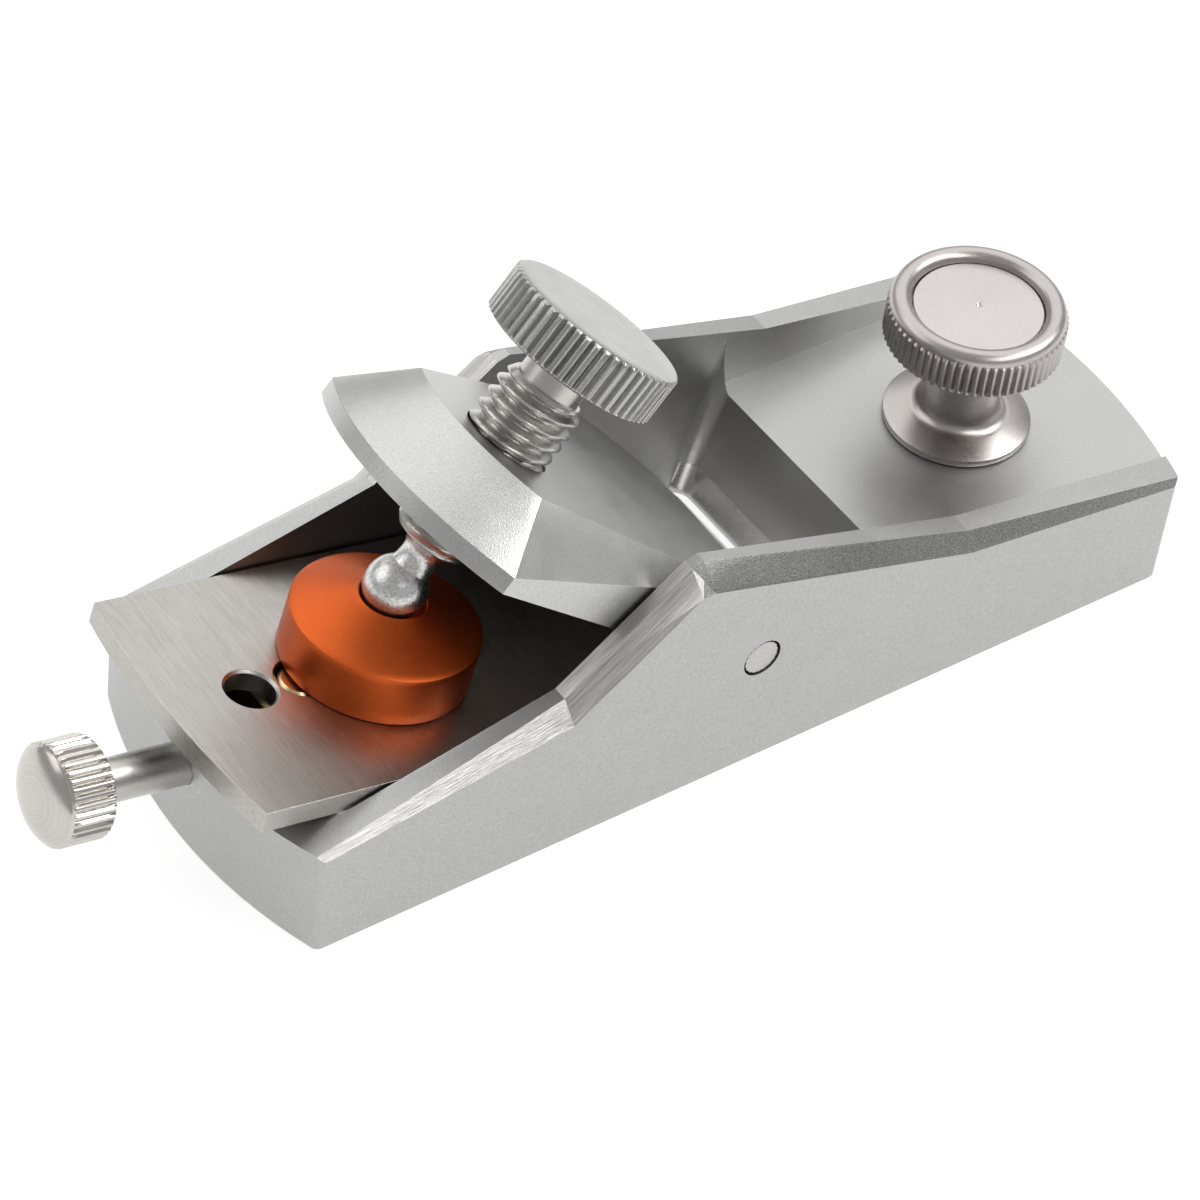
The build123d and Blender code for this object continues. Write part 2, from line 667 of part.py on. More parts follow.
with BuildPart() as knob_disc:
    with BuildSketch(across(knob_frame)):
        with BuildLine():
            Polyline(
                (0, recess_floor),
                (KNOB_RECESS_R, recess_floor),
                (KNOB_RECESS_R, KNOB_RECESS_Z),
                (0, KNOB_RECESS_Z + 0.35),
                close=True,
            )
        make_face()
    revolve(axis=knob_axis)
knob_disc.part.label = "front_knob_disc"
export_step(knob_disc.part, "parts/front_knob_disc.step")

# Stem with a flared foot, bored for the stud below and the cap screw above
CAP_SCREW_END = 27.0
STUD_END = 25.5
with BuildPart() as knob_stem:
    with BuildSketch(across(knob_frame)):
        with BuildLine():
            Polyline(
                (0, STUD_END + 0.2),
                (STUD_R + RUNNING, STUD_END + 0.2),
                (STUD_R + RUNNING, DECK_Z + 0.05),
                (FLANGE_R - 0.2, DECK_Z + 0.05),
                (FLANGE_R, DECK_Z + 0.25),
                (FLANGE_R, DECK_Z + FLANGE_THICK),
                (FLANGE_R - 0.6, DECK_Z + FLANGE_THICK + 0.3),
                (STEM_R + 1.6, DECK_Z + FLANGE_THICK + 1.1),
            )
            Spline(
                (STEM_R + 1.6, DECK_Z + FLANGE_THICK + 1.1),
                (STEM_R, DECK_Z + FLANGE_THICK + 2.9),
                tangents=[(-1, 0.3), (0, 1)],
            )
            Polyline(
                (STEM_R, DECK_Z + FLANGE_THICK + 2.9),
                (STEM_R, KNOB_UNDER),
                (CAP_SCREW_R, KNOB_UNDER),
                (CAP_SCREW_R, CAP_SCREW_END),
                (0, CAP_SCREW_END),
                (0, STUD_END + 0.2),
            )
        make_face()
    revolve(axis=knob_axis)
knob_stem.part.label = "front_knob_stem"
export_step(knob_stem.part, "parts/front_knob_stem.step")

with BuildPart() as cap_screw:
    with BuildSketch(across(knob_frame)):
        with BuildLine():
            Polyline(
                (0, CAP_SCREW_END),
                (CAP_SCREW_R, CAP_SCREW_END),
                (CAP_SCREW_R, recess_floor - (CAP_SCREW_HEAD_R - CAP_SCREW_R)),
                (CAP_SCREW_HEAD_R, recess_floor),
                (0, recess_floor),
                close=True,
            )
        make_face()
    revolve(axis=knob_axis)
    with BuildSketch(Plane.XY.offset(recess_floor)):
        with Locations((KNOB_X, 0)):
            RegularPolygon(1.3, 6)
    extrude(amount=-1.4, mode=Mode.SUBTRACT)
cap_screw.part.label = "front_knob_cap_screw"
export_step(cap_screw.part, "parts/front_knob_cap_screw.step")

# Stud: its head is sunk in the toe plate and its shank passes the deck's slot
with BuildPart() as stud:
    with BuildSketch(Plane.XY.offset(0.3)):
        with Locations((KNOB_X, 0)):
            Circle(5.0)
    extrude(amount=2.9)
    with BuildSketch(Plane.XY.offset(3.2)):
        with Locations((KNOB_X, 0)):
            Circle(STUD_R)
    extrude(amount=STUD_END - 3.2)
    with BuildSketch(Plane.XY.offset(0.3)):
        with Locations((KNOB_X, 0)):
            RegularPolygon(2.3, 6)
    extrude(amount=1.9, mode=Mode.SUBTRACT)
stud.part.label = "front_knob_stud"
export_step(stud.part, "parts/front_knob_stud.step")
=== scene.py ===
"""Looks of a small low-angle block plane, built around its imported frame.

Every piece is made in metres in the plane's own frame: +X points to the toe, +Z up, and
the origin is at the centre of the sole.
"""
from __future__ import annotations

import logging
import math
from dataclasses import dataclass, field
from enum import Enum
from typing import Callable

import bmesh
import bpy
from mathutils import Matrix, Vector


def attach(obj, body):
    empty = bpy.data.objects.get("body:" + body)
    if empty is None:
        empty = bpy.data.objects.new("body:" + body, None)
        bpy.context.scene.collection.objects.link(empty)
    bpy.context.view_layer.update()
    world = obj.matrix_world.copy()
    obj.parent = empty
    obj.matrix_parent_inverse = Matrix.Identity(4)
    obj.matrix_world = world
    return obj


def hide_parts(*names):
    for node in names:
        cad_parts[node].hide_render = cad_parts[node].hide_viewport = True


LOG = logging.getLogger("block_plane")
MM = 0.001
BED_ANGLE = math.radians(12.4)
CAP_ANGLE = math.radians(39.4)
EDGE_X = 19.1

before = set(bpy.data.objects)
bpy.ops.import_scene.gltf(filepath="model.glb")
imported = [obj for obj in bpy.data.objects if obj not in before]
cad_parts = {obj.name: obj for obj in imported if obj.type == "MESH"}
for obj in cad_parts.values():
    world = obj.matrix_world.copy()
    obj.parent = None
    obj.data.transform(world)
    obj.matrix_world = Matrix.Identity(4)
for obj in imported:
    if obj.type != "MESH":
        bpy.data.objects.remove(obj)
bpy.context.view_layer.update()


# ------------------------------------------------------------------ frames of the pieces
def tilted(origin: Vector, angle: float) -> Matrix:
    """Matrix of a frame whose X points down towards the toe.

    Args:
        origin: the frame's origin in metres.
        angle: the slope of its X below the horizontal, in radians.

    Returns:
        The frame as a 4x4 matrix.
    """
    x_axis = Vector((math.cos(angle), 0.0, -math.sin(angle)))
    z_axis = Vector((math.sin(angle), 0.0, math.cos(angle)))
    turn = Matrix((x_axis, Vector((0, 1, 0)), z_axis)).transposed().to_4x4()
    return Matrix.Translation(origin) @ turn


BED = tilted(Vector((EDGE_X * MM, 0, 0)), BED_ANGLE)
CAP = tilted(Vector((-30.5 * MM, 0, 49.5 * MM)), CAP_ANGLE)
SCREW = CAP @ Matrix.Translation((5.15 * MM, 0, 0))
PAD = BED @ Matrix.Translation((-64.8 * MM, 0, 3.05 * MM))
ADJUSTER = (
    BED
    @ Matrix.Translation((-103.7 * MM, 0, -6.85 * MM))
    @ Matrix.Rotation(math.radians(-90), 4, "Y")
)
KNOB = Matrix.Translation((48.6 * MM, 0, 0))


# ------------------------------------------------------------------ finishes
class Grain(Enum):
    """How the marks of a finish run."""

    BLAST = "even sand-blasted grain"
    BRUSH_X = "straight strokes along X"
    BRUSH_Y = "straight strokes along Y"
    TURNED = "rings about Z"
    POLISH = "fine polish with faint clouds"


@dataclass(frozen=True)
class Finish:
    """One metal finish.

    Attributes:
        name: material name.
        color: base colour, linear.
        roughness: mean roughness.
        grain: how its marks run.
        grain_mm: size of the marks across their run.
        bump: height of the marks, relative.
        mottle: how far roughness wanders over the piece.
        speck: how far single grains differ in brightness.
        edge: how much brighter and smoother edges are; the brightening is partly edge wear and partly a
            painted edge highlight.
        edge_mm: width of the brightened edge band.
        metal: metallic value.
        tilt: slope of straight strokes in degrees.
    """

    name: str
    color: tuple[float, float, float]
    roughness: float
    grain: Grain = Grain.BLAST
    grain_mm: float = 0.22
    bump: float = 0.25
    mottle: float = 0.06
    speck: float = 0.10
    edge: float = 0.35
    edge_mm: float = 0.25
    metal: float = 1.0
    tilt: float = 0.0

    def material(self) -> bpy.types.Material:
        """The finish as a node material, made once and then shared.

        Returns:
            The Blender material.
        """
        found = bpy.data.materials.get(self.name)
        if found:
            return found
        made = bpy.data.materials.new(self.name)
        made.use_nodes = True
        MetalNodes(made.node_tree, self).build()
        return made


class MetalNodes:
    """Builds the node tree of a metal finish."""

    def __init__(self, tree: bpy.types.NodeTree, finish: Finish) -> None:
        """Keeps the tree and the finish.

        Args:
            tree: the material's node tree, emptied before use.
            finish: the finish to build.
        """
        self.tree = tree
        self.finish = finish
        tree.nodes.clear()

    def node(self, kind: str, **values: object) -> bpy.types.Node:
        """Adds a node and sets its sockets or properties.

        Args:
            kind: Blender's node type.
            values: property values, or socket values whose key starts with in_ and
                holds the socket's index or its name with underscores.

        Returns:
            The new node.
        """
        made = self.tree.nodes.new(kind)
        for key, value in values.items():
            if key.startswith("in_"):
                tail = key[3:]
                socket = made.inputs[int(tail)] if tail.isdigit() else made.inputs[tail.replace("_", " ")]
                socket.default_value = value
            else:
                setattr(made, key, value)
        return made

    def link(self, source: bpy.types.NodeSocket, target: bpy.types.NodeSocket) -> None:
        """Joins two sockets."""
        self.tree.links.new(source, target)

    def math(self, operation: str, first: object, second: object = 0.0) -> bpy.types.NodeSocket:
        """Adds a math node.

        Args:
            operation: Blender's name of the operation.
            first: a socket or a number.
            second: a socket or a number.

        Returns:
            The result's socket.
        """
        made = self.node("ShaderNodeMath", operation=operation)
        for index, value in enumerate((first, second)):
            if isinstance(value, bpy.types.NodeSocket):
                self.link(value, made.inputs[index])
            else:
                made.inputs[index].default_value = value
        return made.outputs[0]

    def noise(self, vector: bpy.types.NodeSocket, scale: float, detail: float = 3.0) -> bpy.types.NodeSocket:
        """Adds a noise texture.

        Args:
            vector: the coordinates it is read at.
            scale: its scale.
            detail: its number of octaves.

        Returns:
            The noise value's socket.
        """
        made = self.node("ShaderNodeTexNoise", in_Scale=scale, in_Detail=detail, in_Roughness=0.6)
        self.link(vector, made.inputs["Vector"])
        return made.outputs[0]

    def remap(
        self, value: bpy.types.NodeSocket, low: float, high: float, to_low: float, to_high: float
    ) -> bpy.types.NodeSocket:
        """Maps a range onto another, clamped.

        Args:
            value: the socket to map.
            low: start of the range read.
            high: end of the range read.
            to_low: value given at low.
            to_high: value given at high.

        Returns:
            The mapped socket.
        """
        made = self.node("ShaderNodeMapRange", in_1=low, in_2=high, in_3=to_low, in_4=to_high)
        self.link(value, made.inputs[0])
        return made.outputs[0]

    def place(self) -> bpy.types.NodeSocket:
        """Object coordinates in millimetres.

        Returns:
            The vector socket.
        """
        coordinates = self.node("ShaderNodeTexCoord")
        scaled = self.node("ShaderNodeVectorMath", operation="SCALE", in_Scale=1000.0)
        self.link(coordinates.outputs["Object"], scaled.inputs[0])
        return scaled.outputs[0]

    def marks(self, place: bpy.types.NodeSocket) -> bpy.types.NodeSocket:
        """The height of the finish's marks.

        Args:
            place: coordinates in millimetres.

        Returns:
            A socket from 0 to 1.
        """
        finish = self.finish
        scale = 1.0 / finish.grain_mm
        if finish.grain in (Grain.BLAST, Grain.POLISH):
            return self.noise(place, scale, 2.0)
        if finish.grain is Grain.TURNED:
            split = self.node("ShaderNodeSeparateXYZ")
            self.link(place, split.inputs[0])
            across = self.math("SQRT", self.math(
                "ADD",
                self.math("MULTIPLY", split.outputs[0], split.outputs[0]),
                self.math("MULTIPLY", split.outputs[1], split.outputs[1]),
            ))
            joined = self.node("ShaderNodeCombineXYZ")
            self.link(self.math("MULTIPLY", across, scale), joined.inputs[0])
            self.link(self.math("MULTIPLY", split.outputs[2], scale), joined.inputs[1])
            return self.noise(joined.outputs[0], 1.0, 2.0)
        stretch = (0.02, 1.0, 1.0) if finish.grain is Grain.BRUSH_X else (1.0, 0.02, 1.0)
        slope = math.radians(finish.tilt)
        turned = self.node("ShaderNodeVectorRotate", rotation_type="Y_AXIS", in_Angle=slope)
        self.link(place, turned.inputs["Vector"])
        scaled = self.node("ShaderNodeVectorMath", operation="MULTIPLY")
        self.link(turned.outputs[0], scaled.inputs[0])
        scaled.inputs[1].default_value = stretch
        return self.noise(scaled.outputs[0], scale, 3.0)

    def edge_wear_and_highlight(self) -> bpy.types.NodeSocket:
        """How near a point is to an edge, 0 on open faces and 1 on the edge.

        Returns:
            The mask's socket.
        """
        bevel = self.node("ShaderNodeBevel", samples=4, in_Radius=self.finish.edge_mm * MM)
        geometry = self.node("ShaderNodeNewGeometry")
        dot = self.node("ShaderNodeVectorMath", operation="DOT_PRODUCT")
        self.link(bevel.outputs[0], dot.inputs[0])
        self.link(geometry.outputs["Normal"], dot.inputs[1])
        return self.remap(dot.outputs["Value"], 0.995, 0.90, 0.0, 1.0)

    def build(self) -> None:
        """Joins grain, mottling and brightened edges, partly wear and partly a painted highlight, into one
        metal shader.
        """
        finish = self.finish
        place = self.place()
        marks = self.marks(place)
        clouds = self.noise(place, 0.16, 4.0)
        fine = self.noise(place, 2.2 / finish.grain_mm, 1.0)
        edge_wear_and_highlight = self.edge_wear_and_highlight() if finish.edge > 0 else None

        tone = self.math("ADD", self.remap(marks, 0.3, 0.7, 1 - finish.speck, 1 + finish.speck),
                         self.remap(clouds, 0.3, 0.7, -0.03, 0.03))
        # Colour grows brighter towards edges: partly edge wear, partly a painted edge highlight.
        if edge_wear_and_highlight is not None:
            tone = self.math("ADD", tone, self.math("MULTIPLY", edge_wear_and_highlight, finish.edge * 0.35))
        tint = self.node("ShaderNodeVectorMath", operation="SCALE")
        tint.inputs[0].default_value = finish.color
        self.link(tone, tint.inputs["Scale"])
        smoothest = finish.roughness - finish.mottle
        roughest = finish.roughness + finish.mottle
        rough = self.math("ADD", self.remap(clouds, 0.3, 0.7, smoothest, roughest),
                          self.remap(fine, 0.3, 0.7, -0.03, 0.03))
        if edge_wear_and_highlight is not None:
            rough = self.math("SUBTRACT", rough, self.math("MULTIPLY", edge_wear_and_highlight, finish.edge * 0.3))
        rough = self.math("MAXIMUM", rough, 0.06)

        bump = self.node("ShaderNodeBump", in_Strength=finish.bump, in_Distance=0.06 * MM)
        self.link(marks, bump.inputs["Height"])
        shader = self.node("ShaderNodeBsdfPrincipled", in_Metallic=finish.metal)
        self.link(tint.outputs[0], shader.inputs["Base Color"])
        self.link(rough, shader.inputs["Roughness"])
        self.link(bump.outputs[0], shader.inputs["Normal"])
        output = self.node("ShaderNodeOutputMaterial")
        self.link(shader.outputs[0], output.inputs[0])


BLASTED = Finish(
    "bead_blasted_body", (0.425, 0.425, 0.418), 0.40, grain_mm=0.20, bump=0.45, speck=0.13, mottle=0.03,
)
SOLE_GROUND = Finish("ground_sole", (0.50, 0.50, 0.49), 0.26, Grain.BRUSH_X, 0.12, 0.20, edge=0.3)
MILLED = Finish(
    "milled_cheek_tops", (0.52, 0.51, 0.495), 0.40, Grain.BRUSH_X, 0.13, 0.7, speck=0.38,
    mottle=0.03, tilt=11.5,
)
MILLED_STEEP = Finish(
    "milled_steep_tops", (0.50, 0.49, 0.475), 0.40, Grain.BRUSH_X, 0.13, 0.7, speck=0.38,
    mottle=0.03, tilt=37.2,
)
# Darker copy of the body steel for the front chamfers: its low base colour is painted shade.
CHAMFER_PAINTED_SHADE = Finish(
    "grained_front_chamfer_painted_shade", (0.215, 0.215, 0.21), 0.40, grain_mm=0.17, bump=0.9, speck=0.50, mottle=0.03,
)
CAP_BLAST = Finish(
    "blasted_cap", (0.50, 0.50, 0.49), 0.33, grain_mm=0.20, bump=0.50, speck=0.13, mottle=0.03,
)
PIN_STEEL = Finish("ground_pin", (0.46, 0.455, 0.44), 0.34, grain_mm=0.35, bump=0.4, speck=0.10)
IRON_STEEL = Finish(
    "cross_ground_iron", (0.435, 0.415, 0.39), 0.30, Grain.BRUSH_Y, 0.10, 0.55, speck=0.16, mottle=0.03,
)
BEVEL_STEEL = Finish("honed_bevel", (0.60, 0.59, 0.57), 0.16, Grain.BRUSH_Y, 0.08, 0.2, speck=0.05)
POLISHED = Finish(
    "satin_ball", (0.64, 0.635, 0.62), 0.30, Grain.POLISH, 0.35, 0.60, speck=0.28, edge=0.0,
)
# edge=0.7 brightens the thread's crests: wear and a painted highlight.
THREAD_STEEL = Finish(
    "turned_thread", (0.50, 0.485, 0.46), 0.27, Grain.TURNED, 0.10, 0.25, speck=0.14,
    edge=0.7, edge_mm=0.12,
)
# edge=1.4 strongly brightens the knurl's edges: wear and a painted highlight.
HEAD_STEEL = Finish(
    "satin_head", (0.39, 0.387, 0.378), 0.30, grain_mm=0.20, bump=0.45, speck=0.16, edge=1.4,
)
WARM_TURNED = Finish("warm_turned_knob", (0.43, 0.40, 0.385), 0.30, Grain.TURNED, 0.12, 0.25, speck=0.10)
WARM_DISC = Finish(
    "satin_disc", (0.50, 0.475, 0.465), 0.38, grain_mm=0.16, bump=0.3, speck=0.09, mottle=0.03,
)
ADJUSTER_STEEL = Finish(
    "bright_adjuster", (0.51, 0.485, 0.455), 0.22, Grain.TURNED, 0.12, 0.15, speck=0.10,
)
ORANGE = Finish(
    "orange_anodised", (0.64, 0.118, 0.026), 0.40, grain_mm=0.16, bump=0.22, speck=0.12,
    edge=0.3, mottle=0.03,
)
BRASS = Finish("turned_brass", (0.62, 0.50, 0.28), 0.28, Grain.TURNED, 0.12, 0.15)
PLAIN_STEEL = Finish("plain_turned_steel", (0.45, 0.45, 0.44), 0.34, Grain.TURNED, 0.15, 0.2)


# ------------------------------------------------------------------ mesh helpers
def new_object(name: str, mesh: bpy.types.Mesh, place: Matrix = Matrix.Identity(4)) -> bpy.types.Object:
    """Puts a mesh in the scene.

    Args:
        name: the piece's name.
        mesh: its mesh.
        place: where it stands.

    Returns:
        The new object.
    """
    made = bpy.data.objects.new(name, mesh)
    bpy.context.scene.collection.objects.link(made)
    made.matrix_world = place
    return made


def smooth(piece: bpy.types.Object, angle: float = 30.0) -> None:
    """Shades a piece smooth below an angle between faces.

    Args:
        piece: the piece.
        angle: the angle in degrees above which an edge stays sharp.
    """
    for face in piece.data.polygons:
        face.use_smooth = True
    piece.data.set_sharp_from_angle(angle=math.radians(angle))


def rounded(piece: bpy.types.Object, width: float, angle: float = 25.0, segments: int = 2) -> None:
    """Rounds the edges of a piece.

    Args:
        piece: the piece.
        width: the rounding's width in millimetres.
        angle: edges sharper than this, in degrees, are rounded.
        segments: faces across the rounding.
    """
    bevel = piece.modifiers.new("rounding", "BEVEL")
    bevel.width = width * MM
    bevel.segments = segments
    bevel.limit_method = "ANGLE"
    bevel.angle_limit = math.radians(angle)
    bevel.harden_normals = True
    bevel.use_clamp_overlap = True


def copy_of_node(node: str, name: str, flat: float = 0.3) -> bpy.types.Object:
    """A clean copy of a node's solid, its flat faces joined up.

    Args:
        node: the node copied.
        name: the new piece's name.
        flat: faces within this angle, in degrees, count as one flat.

    Returns:
        The new piece.
    """
    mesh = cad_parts[node].data.copy()
    mesh.materials.clear()
    work = bmesh.new()
    work.from_mesh(mesh)
    bmesh.ops.remove_doubles(work, verts=work.verts, dist=1e-6)
    bmesh.ops.dissolve_limit(
        work, angle_limit=math.radians(flat), verts=work.verts, edges=work.edges
    )
    for face in work.faces:
        face.material_index = 0
    work.to_mesh(mesh)
    work.free()
    return new_object(name, mesh)


def ring_point(radius: float, turn: float, height: float) -> tuple[float, float, float]:
    """A point round the frame's Z.

    Args:
        radius: its distance from Z in millimetres.
        turn: its angle in radians.
        height: its height in millimetres.

    Returns:
        The point in metres.
    """
    return (radius * MM * math.cos(turn), radius * MM * math.sin(turn), height * MM)


def lathe(name: str, profile: list[tuple[float, float]], place: Matrix, steps: int = 128,
          shape: Callable[[float, float, float], float] | None = None) -> bpy.types.Object:
    """Turns a profile about the frame's Z.

    Args:
        name: the piece's name.
        profile: radius and height pairs in millimetres, from one end to the other.
        place: the frame it stands in.
        steps: points around.
        shape: gives a point's radius from its angle, radius and height.

    Returns:
        The turned piece.
    """
    work = bmesh.new()
    rings = []
    for radius, height in profile:
        if radius < 1e-6:
            rings.append([work.verts.new((0, 0, height * MM))])
            continue
        ring = []
        for step in range(steps):
            turn = 2 * math.pi * step / steps
            reach = shape(turn, radius, height) if shape else radius
            ring.append(work.verts.new(ring_point(reach, turn, height)))
        rings.append(ring)
    for near, far in zip(rings[:-1], rings[1:]):
        for step in range(steps):
            after = (step + 1) % steps
            corners = [near[step % len(near)], near[after % len(near)]]
            corners += [far[after % len(far)], far[step % len(far)]]
            unique = list(dict.fromkeys(corners))
            if len(unique) > 2:
                work.faces.new(unique)
    bmesh.ops.recalc_face_normals(work, faces=work.faces)
    mesh = bpy.data.meshes.new(name)
    work.to_mesh(mesh)
    work.free()
    piece = new_object(name, mesh, place)
    smooth(piece)
    return piece


def arc(
    centre: tuple[float, float], radius: float, start: float, end: float, count: int
) -> list[tuple[float, float]]:
    """Points of an arc in a profile.

    Args:
        centre: its centre as radius and height.
        radius: its radius.
        start: its first angle in degrees.
        end: its last angle in degrees.
        count: how many points.

    Returns:
        Radius and height pairs.
    """
    points = []
    for step in range(count):
        turn = math.radians(start + (end - start) * step / (count - 1))
        points.append((centre[0] + radius * math.cos(turn), centre[1] + radius * math.sin(turn)))
    return points


@dataclass(frozen=True)
class Knurl:
    """Straight knurling round a rim.

    Attributes:
        teeth: number of teeth.
        depth: depth of the grooves in millimetres.
        low: height at which the grooves start.
        high: height at which they end.
        run_out: length over which they fade at each end.
        land: share of each tooth that stays flat.
        inner: radius inside which nothing is cut.
    """

    teeth: int
    depth: float
    low: float
    high: float
    run_out: float = 0.15
    land: float = 0.25
    inner: float = 0.0

    def reach(self, turn: float, radius: float, height: float) -> float:
        """Radius of a rim point once it is knurled.

        Args:
            turn: its angle.
            radius: its radius before knurling.
            height: its height.

        Returns:
            The knurled radius.
        """
        if radius < self.inner:
            return radius
        inside = min(height - self.low, self.high - height) / self.run_out
        share = min(max(inside + 1.0, 0.0), 1.0)
        phase = (turn * self.teeth / (2 * math.pi)) % 1.0
        away = abs(phase - 0.5) * 2
        groove = max(0.0, (away - self.land) / (1 - self.land))
        return radius - self.depth * share * groove


def dress(piece: bpy.types.Object, finish: Finish, slot: str, body: str, *nodes: str) -> bpy.types.Object:
    """Gives a piece its finish and body, and hides the nodes it stands for.

    Args:
        piece: the piece.
        finish: its finish.
        slot: the record's material slot; not used.
        body: the body it moves with.
        nodes: the nodes it replaces.

    Returns:
        The piece.
    """
    if not piece.data.materials:
        piece.data.materials.append(finish.material())
    if nodes:
        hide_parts(*nodes)
    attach(piece, body)
    LOG.info("made %s", piece.name)
    return piece


def keep_node(node: str, finish: Finish) -> None:
    """Gives a node that is shown as it is its finish.

    Args:
        node: the node.
        finish: its finish.
    """
    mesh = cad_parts[node].data
    mesh.materials.clear()
    mesh.materials.append(finish.material())
    LOG.info("kept %s", node)


# ------------------------------------------------------------------ sub-assemblies
@dataclass
class Body:
    """The milled body with its cross pin.

    Attributes:
        half_width: half the width over the cheeks, in millimetres.
        edge: rounding of the body's edges.
        peak_x: where the cheeks are highest.
        kink_x: where their rear tops turn steep.
        inner: half the width between the cheeks.
    """

    half_width: float = 24.9
    edge: float = 0.22
    peak_x: float = -12.4
    kink_x: float = -30.8
    inner: float = 20.35

    def zone(self, face: bpy.types.MeshPolygon) -> int:
        """Which finish a face of the body has.

        Args:
            face: the face.

        Returns:
            0 blasted, 1 milled tops, 2 front chamfer darkened with painted shade, 3 ground sole, 4 milled
            steep tops.
        """
        middle = face.center / MM
        normal = face.normal
        if normal.z < -0.95 and middle.z < 0.5:
            return 3
        on_cheek = abs(middle.y) > self.inner - 0.6
        if not on_cheek or normal.z < 0.2 or middle.z < 13:
            return 0
        if middle.x > self.peak_x:
            return 2 if abs(normal.y) > 0.2 else 0
        return 4 if middle.x > self.kink_x else 1

    def build(self) -> None:
        """Makes the body and the pin's ends."""
        piece = copy_of_node("body", "milled_body")
        for finish in (BLASTED, MILLED, CHAMFER_PAINTED_SHADE, SOLE_GROUND, MILLED_STEEP):
            piece.data.materials.append(finish.material())
        for face in piece.data.polygons:
            face.material_index = self.zone(face)
        smooth(piece, 12)
        rounded(piece, self.edge, 14)
        dress(piece, BLASTED, "body_steel", "plane_body", "body")
        self.pin()
        keep_node("adjuster_bushing", BLASTED)

    def pin(self) -> None:
        """Makes the splined cross pin, a fine gap round each end."""
        half = self.half_width

        def splined(turn: float, radius: float, height: float) -> float:
            """Radius of a point of the pin, with fine splines near its ends."""
            near_end = abs(height) > half - 1.6
            return radius - (0.10 * (0.5 + 0.5 * math.cos(turn * 18)) if near_end else 0.0)

        gap = 2.5
        end = [(0, 0.04), (gap - 0.25, 0.04), (gap, 0.16), (gap, 1.4), (2.8, 1.7)]
        profile = [(radius, inset - half) for radius, inset in end]
        profile += [(radius, half - inset) for radius, inset in reversed(end)]
        place = Matrix.Translation((-2.0 * MM, 0, 18.8 * MM)) @ Matrix.Rotation(math.radians(90), 4, "X")
        piece = lathe("splined_cross_pin", profile, place, 144, splined)
        dress(piece, PIN_STEEL, "pin_steel", "plane_body", "cross_pin")


@dataclass
class ToePlate:
    """The sliding plate in the sole.

    Attributes:
        edge: rounding of its edges in millimetres.
    """

    edge: float = 0.15

    def build(self) -> None:
        """Makes the plate."""
        piece = copy_of_node("toe_plate", "sliding_toe_plate")
        smooth(piece, 20)
        rounded(piece, self.edge)
        dress(piece, SOLE_GROUND, "plate_steel", "toe", "toe_plate")
        keep_node("front_knob_stud", PLAIN_STEEL)


@dataclass
class Iron:
    """The blade on its bed.

    Attributes:
        edge: rounding of its edges in millimetres.
    """

    edge: float = 0.22

    def build(self) -> None:
        """Makes the blade, its bevel honed."""
        piece = copy_of_node("blade", "cutting_iron")
        piece.data.transform(BED.inverted())
        piece.data.materials.append(IRON_STEEL.material())
        piece.data.materials.append(BEVEL_STEEL.material())
        for face in piece.data.polygons:
            face.material_index = 1 if face.normal.x > 0.3 and face.normal.z > 0.3 else 0
        piece.matrix_world = BED
        smooth(piece, 25)
        rounded(piece, self.edge, 28)
        dress(piece, IRON_STEEL, "blade_steel", "iron", "blade")


@dataclass
class LeverCap:
    """The turned and milled lever cap.

    Attributes:
        edge: rounding of its edges in millimetres.
    """

    edge: float = 0.25

    def build(self) -> None:
        """Makes the cap."""
        piece = copy_of_node("lever_cap", "lever_cap_disc")
        piece.data.transform(CAP.inverted())
        piece.matrix_world = CAP
        smooth(piece, 25)
        rounded(piece, self.edge, 16)
        dress(piece, CAP_BLAST, "cap_steel", "cap", "lever_cap")


